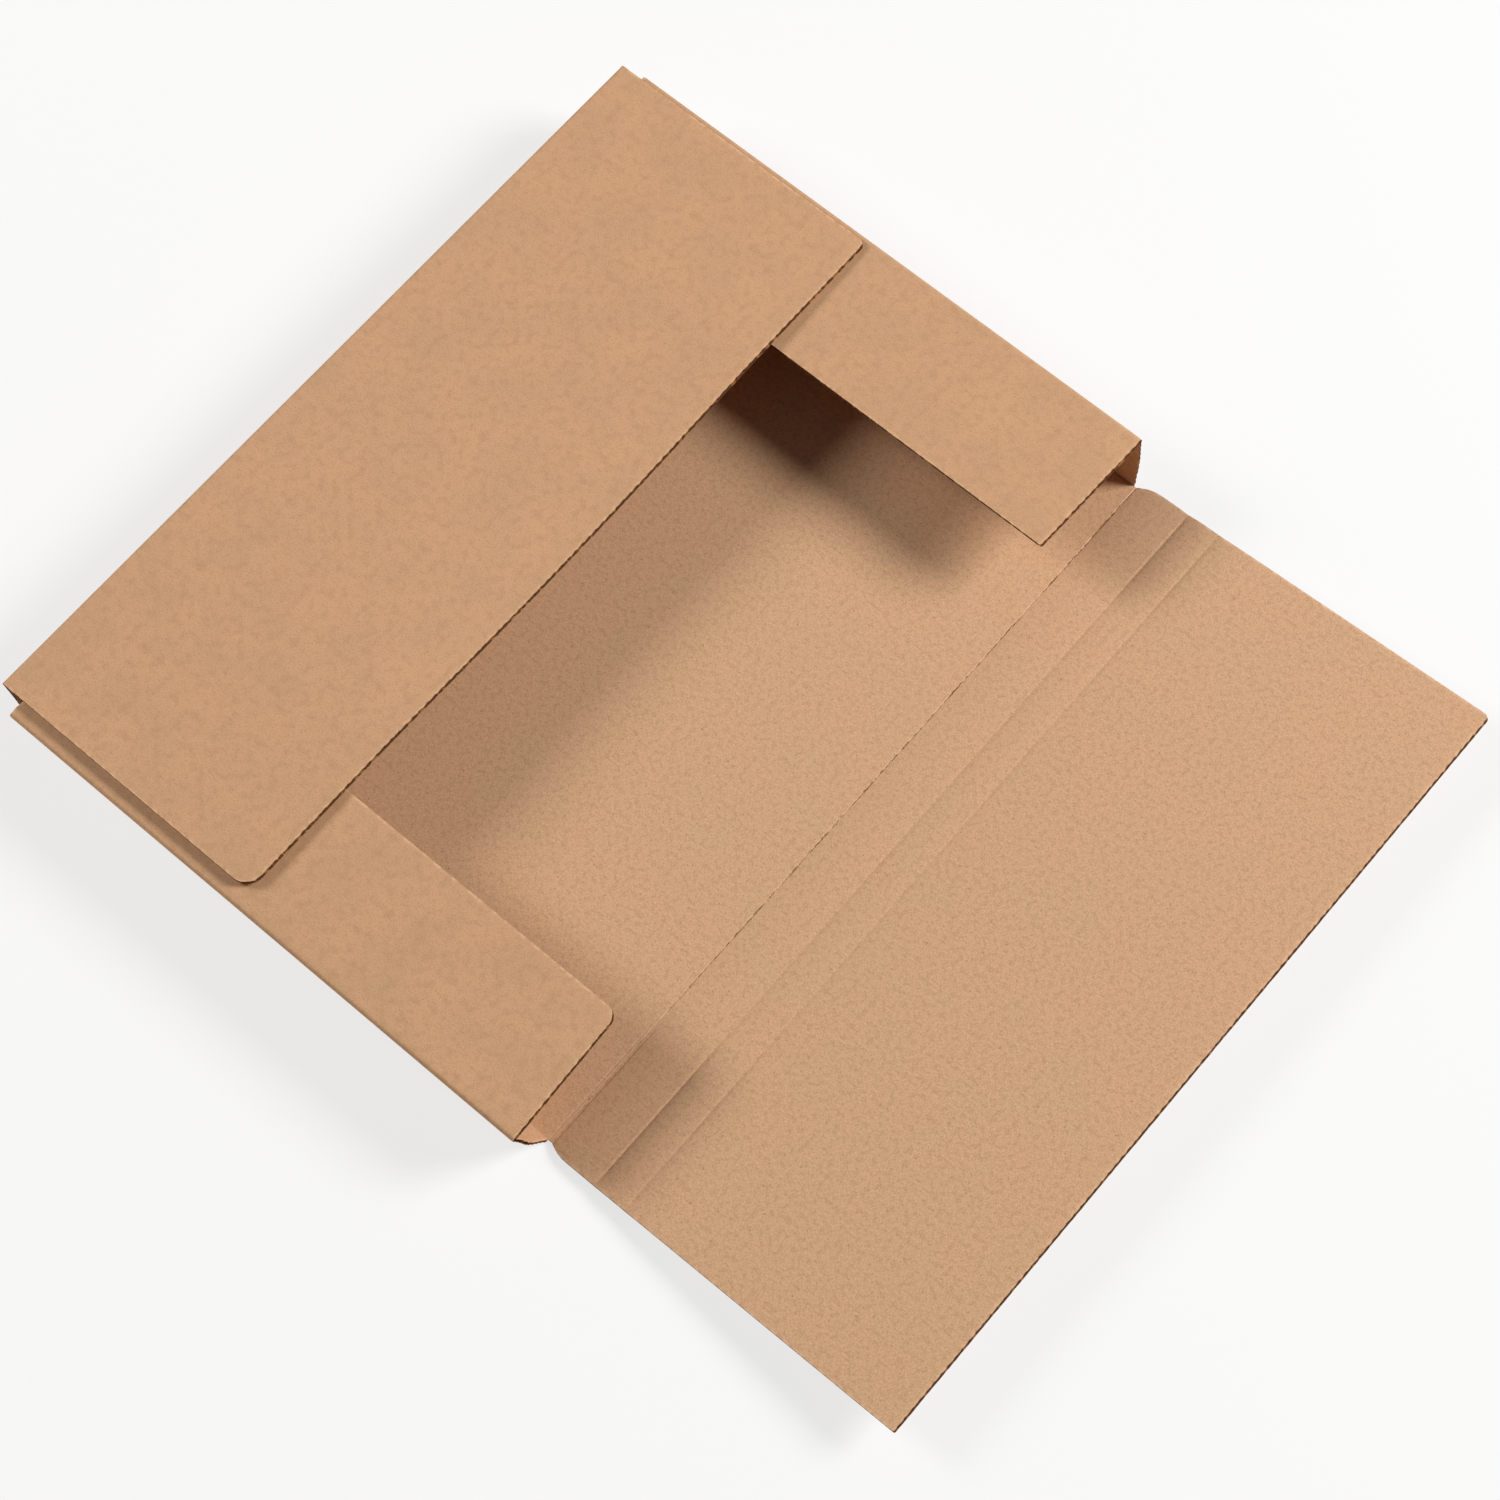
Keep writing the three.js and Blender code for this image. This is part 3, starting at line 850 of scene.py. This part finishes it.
def crease(name, at, headings, ends_y, bodies, b, flat_at, score, lifts, torn=0.0):
    """The crushed board across a hinged crease, which bends as the crease turns. Lifts are how
    far the panels on its two sides have swelled where it meets them."""
    half = b.crease_half
    before, after = headings
    start = Vector(at) - half * Vector((math.cos(before), math.sin(before)))
    walk = Walk(start, [(before, half), (after, half)], b.board / 2)
    middle = walk.last / 2
    bm = new_mesh()

    def paper(depth_of):
        def place(column, row):
            across = column - middle
            lo, hi = ends_y(across)
            y = lo + (hi - lo) * row
            lift = lifts[across > 0] * max(0.0, 1 - (middle - abs(across)) / half)
            x, z = walk.point(column, depth_of(across, y) + lift)
            # How strongly the tear's painted shade and painted highlight show here
            crack_and_shade = torn * (0.6 + 0.4 * tear(y)) * max(0.0, 1 - abs(across) / CRACK_HALF)
            return Vector((x, y, z)), (flat_at + across, y, 0.0), crack_and_shade, 0.0
        return place

    def inner(across, y):
        # Within the turn the inner liner is crushed a little below its line, never on it
        past = max(0.0, abs(across) - (middle - half))
        return max(surface(across, y), CRUSHED * max(0.0, 1 - past / CRUSHED_FADE))

    def surface(across, y):
        lo, hi = ends_y(across)
        if torn:
            line = abs(across - WANDER * noise.noise(Vector((y / WANDER_STEP, 3.1, 0))))
            opened = ridge(line, SPLIT) - ridge(line, LIP)
            return opened * tear(y) + ridge(abs(across), HOLLOW) * (1 - tear(y))
        fade = score_fade(y, lo, hi, b.score_margin) * uneven(y, 4.7)
        return pressed(across, b.score_width, SCORE_LEFT * score) * fade

    def outer(across, y):
        return b.board - b.liner

    def core(across, y):
        return b.liner + (TORN_CORE if torn else inner(across, y))

    columns = walk.rows(CREASE_COLUMN)
    lo, hi = ends_y(0.0)
    rows = stations([0.0, 1.0], b.pitch / LINER_STEPS / (hi - lo))
    # The walk runs across the crease and the rows along it, so the sheet's two ways are swapped.
    # What is left of the board between its liners is the medium, crushed a little into them.
    # The liners' glued faces take the medium's dark paper here too: painted shade inside the board.
    lay_sheet(bm, columns, rows, paper(inner), b.liner, INNER, MEDIUM_AND_SHADE)
    lay_sheet(bm, columns, rows, paper(core), b.board - CRUSHED_LINERS * b.liner - score,
              MEDIUM_AND_SHADE, MEDIUM_AND_SHADE)
    lay_sheet(bm, columns, rows, paper(outer), b.liner, MEDIUM_AND_SHADE, OUTER)
    if torn:
        raise_slivers(bm, middle, walk, (lo, hi), flat_at, b)
    piece = finish_piece(bm, name, papers())
    turn = (before + after) / 2
    way = Vector((math.cos(turn), 0, math.sin(turn)))
    ahead = half * math.cos((after - before) / 2)
    centre = Vector((at[0], 0, at[1]))
    first, second = bodies
    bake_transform(piece, first, second, start=centre - way * ahead, end=centre + way * ahead)
    return piece


def raise_slivers(bm, middle, walk, reach, flat_at, b):
    """Bits of the inner liner that tore along the score and stand a little proud of it."""
    dice = random.Random(5)
    for _ in range(SLIVERS):
        y0 = dice.uniform(SLIVERS_FROM, reach[1] - 4 * MM)
        long, wide = dice.uniform(1.2, 3.2) * MM, dice.uniform(0.25, 0.5) * MM
        aside, skew = dice.uniform(-0.45, 0.45) * MM, dice.uniform(-0.25, 0.25)
        lift = dice.uniform(0.15, 0.4) * MM

        def place(column, row):
            taper = math.sin(math.pi * (0.12 + 0.82 * row))
            across = aside + skew * (row - 0.5) * long + wide * (column - 0.5) * taper
            high = -0.02 * MM - lift * row ** 2
            x, z = walk.point(middle + across, high)
            y = y0 + long * (row - 0.5)
            return Vector((x, y, z)), (flat_at + across, y, 0.0), 0.0, 1.0

        lay_sheet(bm, [0.0, 0.5, 1.0], [0.0, 0.25, 0.5, 0.75, 1.0], place,
                  0.4 * b.liner, INNER, INNER)


class MAILER_OT_creases(bpy.types.Operator):
    """The four hinged creases, which join the tray to its walls and the walls to their covers"""
    bl_idname = "mailer.creases"
    bl_label = "Hinged creases"

    def execute(self, context):
        b, f = settings()
        half = f.base_y / 2
        base_edge = f.base_x / 2
        reach = f.second_score
        down = 1.5 * math.pi + f.left_lean
        left_top = (-base_edge - reach * math.sin(f.left_lean),
                    b.board + reach * math.cos(f.left_lean))
        right_top = (base_edge + reach * math.cos(f.right_rise),
                     b.board + reach * math.sin(f.right_rise))

        def root(near, far, way):
            def ends(across):
                u = max(0.0, way * across)
                return -shoulder_reach(u, half, near, f), shoulder_reach(u, half, far, f)
            return ends

        def full(near, far):
            return lambda across: (-half - near, half + far)

        low, high = swell(b.crease_half, f), swell(reach - b.crease_half, f)
        crease("left_cover_crease_fold", left_top, (math.pi, down),
               full(f.left_near, f.left_far), ("left_cover", "left_wall"), b,
               -base_edge - reach, 0.0, (0.0, high))
        crease("left_base_crease_fold", (-base_edge, b.board), (down, 2 * math.pi),
               root(f.left_near, f.left_far, -1), ("left_wall", "tray"), b, -base_edge, 0.0,
               (low, 0.0))
        crease("right_base_crease_fold", (base_edge, b.board), (0.0, f.right_rise),
               root(f.right_near, f.right_far, 1), ("tray", "right_wall"), b, base_edge,
               b.score_depth, (0.0, low), torn=1.0)
        crease("right_cover_crease_fold", right_top, (f.right_rise, f.right_rise),
               full(f.right_near, f.right_far), ("right_wall", "right_cover"), b,
               base_edge + reach, b.score_depth, (high, rise(b.crease_half, f)))
        return {"FINISHED"}


# ---------------------------------------------------------------- stage

# The camera that was fitted to the photograph, which is cropped off its middle
VIEW_TARGET = (119.29 * MM, 1.49 * MM, 0.0)
VIEW_AZIMUTH, VIEW_ELEVATION, VIEW_ROLL = -47.16, 69.78, 2.90
VIEW_DISTANCE = 1062.36 * MM
FRAME_SIZE = 1500               # the photograph's frame, in its own pixels
FOCAL = 3153.99                 # focal length, in those pixels
CENTRE = (868.67, 810.04)       # where the lens looks straight ahead
SENSOR = 36.0                   # millimetres
MAIN_LAMP, SECOND_LAMP = (45, 38), (200, 38)  # azimuth and elevation, in degrees
LAMP_DISTANCE = 2.2
LAMP_SIZE = 0.85
LAMP_AIM = (0.05, 0, 0)
FLOOR_HALF = 3.0
FLOOR_PLACE = (0.1, 0, -0.15 * MM)
FLOOR_WHITE = 0.7               # how far the floor is the room's white to the camera


def studio_floor():
    """Matt white paper sweep: to the camera it is nearly as white as the room behind it."""
    material, tree = paper_tree("white_paper_sweep")
    rgb = tuple(bpy.context.scene.mailer_studio.floor) + (1.0,)
    ray = add(tree, "ShaderNodeLightPath").outputs["Is Camera Ray"]
    matt = add(tree, "ShaderNodeBsdfDiffuse", {"Color": rgb, "Roughness": 0.5}).outputs["BSDF"]
    white = add(tree, "ShaderNodeEmission", {"Color": (1, 1, 1, 1), "Strength": 1.0})
    share = add(tree, "ShaderNodeMath", {0: ray, 1: FLOOR_WHITE},
                operation="MULTIPLY").outputs[0]
    mix = add(tree, "ShaderNodeMixShader", {0: share, 1: matt, 2: white.outputs["Emission"]})
    add(tree, "ShaderNodeOutputMaterial", {"Surface": mix.outputs["Shader"]})
    return material


def soft_box(name, azimuth, elevation, watts):
    """A round soft box that looks at the mailer from a compass direction, in degrees."""
    lamp = bpy.data.lights.new(name, "AREA")
    lamp.shape = "DISK"
    lamp.size = LAMP_SIZE
    lamp.energy = watts
    around, above = math.radians(azimuth), math.radians(elevation)
    way = Vector((math.cos(above) * math.cos(around), math.cos(above) * math.sin(around),
                  math.sin(above)))
    box = bpy.data.objects.new(name, lamp)
    box.location = Vector(LAMP_AIM) + LAMP_DISTANCE * way
    box.rotation_euler = way.to_track_quat("Z", "Y").to_euler()
    bpy.context.scene.collection.objects.link(box)


class MAILER_OT_stage(bpy.types.Operator):
    """Floor, light and camera"""
    bl_idname = "mailer.stage"
    bl_label = "Studio"

    def execute(self, context):
        scene = context.scene
        studio = scene.mailer_studio
        bm = bmesh.new()
        bmesh.ops.create_grid(bm, x_segments=2, y_segments=2, size=FLOOR_HALF)
        bmesh.ops.translate(bm, vec=FLOOR_PLACE, verts=bm.verts[:])
        mesh = bpy.data.meshes.new("studio_floor")
        bm.to_mesh(mesh)
        bm.free()
        mesh.materials.append(studio_floor())
        floor = bpy.data.objects.new("studio_floor", mesh)
        scene.collection.objects.link(floor)

        world = bpy.data.worlds.new("studio_room")
        world.use_nodes = True
        tree = world.node_tree
        tree.nodes.clear()
        # White to the camera, in reflections and through film; a dim room to everything else
        path = add(tree, "ShaderNodeLightPath")
        seen = add(tree, "ShaderNodeMath", {
            0: path.outputs["Is Camera Ray"], 1: path.outputs["Is Glossy Ray"]},
            operation="MAXIMUM").outputs[0]
        through = add(tree, "ShaderNodeMath", {
            0: seen, 1: path.outputs["Is Transmission Ray"]}, operation="MAXIMUM").outputs[0]
        strength = add(tree, "ShaderNodeMapRange", {
            "Value": through, "To Min": studio.sky}).outputs["Result"]
        back = add(tree, "ShaderNodeBackground", {"Color": (1, 1, 1, 1), "Strength": strength})
        add(tree, "ShaderNodeOutputWorld", {"Surface": back.outputs["Background"]})
        scene.world = world

        soft_box("main_lamp", *MAIN_LAMP, studio.key)
        soft_box("second_lamp", *SECOND_LAMP, studio.fill)

        azimuth, elevation = math.radians(VIEW_AZIMUTH), math.radians(VIEW_ELEVATION)
        roll = math.radians(VIEW_ROLL)
        back_way = Vector((math.cos(elevation) * math.cos(azimuth),
                           math.cos(elevation) * math.sin(azimuth), math.sin(elevation)))
        ahead = -back_way
        right = ahead.cross(Vector((0, 0, 1))).normalized()
        down = ahead.cross(right)
        across = math.cos(roll) * right + math.sin(roll) * down
        below = -math.sin(roll) * right + math.cos(roll) * down
        turn = Matrix((across, -below, back_way)).transposed().to_4x4()
        lens = bpy.data.cameras.new("camera")
        lens.sensor_width = SENSOR
        lens.lens = FOCAL / FRAME_SIZE * SENSOR
        lens.shift_x = (FRAME_SIZE / 2 - CENTRE[0]) / FRAME_SIZE
        lens.shift_y = (CENTRE[1] - FRAME_SIZE / 2) / FRAME_SIZE
        camera = bpy.data.objects.new("camera", lens)
        camera.matrix_world = Matrix.Translation(
            Vector(VIEW_TARGET) + back_way * VIEW_DISTANCE) @ turn
        scene.collection.objects.link(camera)
        scene.camera = camera
        scene.view_settings.view_transform = "Standard"
        return {"FINISHED"}


class MAILER_PT_panel(bpy.types.Panel):
    """Everything that the mailer is built from"""
    bl_idname = "MAILER_PT_panel"
    bl_label = "Wraparound mailer"
    bl_space_type = "VIEW_3D"
    bl_region_type = "UI"
    bl_category = "Mailer"

    def draw(self, context):
        layout = self.layout
        scene = context.scene
        for group, title in ((scene.mailer_board, "Board"), (scene.mailer_folds, "Folds"),
                             (scene.mailer_finish, "Finish"), (scene.mailer_studio, "Studio")):
            box = layout.box()
            box.label(text=title)
            for key in group.__annotations__:
                box.prop(group, key)
        for operator in OPERATORS:
            layout.operator(operator.bl_idname)


GROUPS = {
    "mailer_board": MailerBoard,
    "mailer_folds": MailerFolds,
    "mailer_finish": MailerFinish,
    "mailer_studio": MailerStudio,
}
OPERATORS = (
    MAILER_OT_tray, MAILER_OT_left_flap, MAILER_OT_right_flap, MAILER_OT_creases,
    MAILER_OT_stage,
)


def register():
    for cls in (*GROUPS.values(), *OPERATORS, MAILER_PT_panel):
        bpy.utils.register_class(cls)
    for name, cls in GROUPS.items():
        setattr(bpy.types.Scene, name, bpy.props.PointerProperty(type=cls))


def unregister():
    for name in GROUPS:
        delattr(bpy.types.Scene, name)
    for cls in reversed((*GROUPS.values(), *OPERATORS, MAILER_PT_panel)):
        bpy.utils.unregister_class(cls)


def main():
    register()
    bpy.ops.mailer.stage()
    bpy.ops.mailer.tray()
    bpy.ops.mailer.left_flap()
    bpy.ops.mailer.right_flap()
    bpy.ops.mailer.creases()


if __name__ == "__main__":
    main()
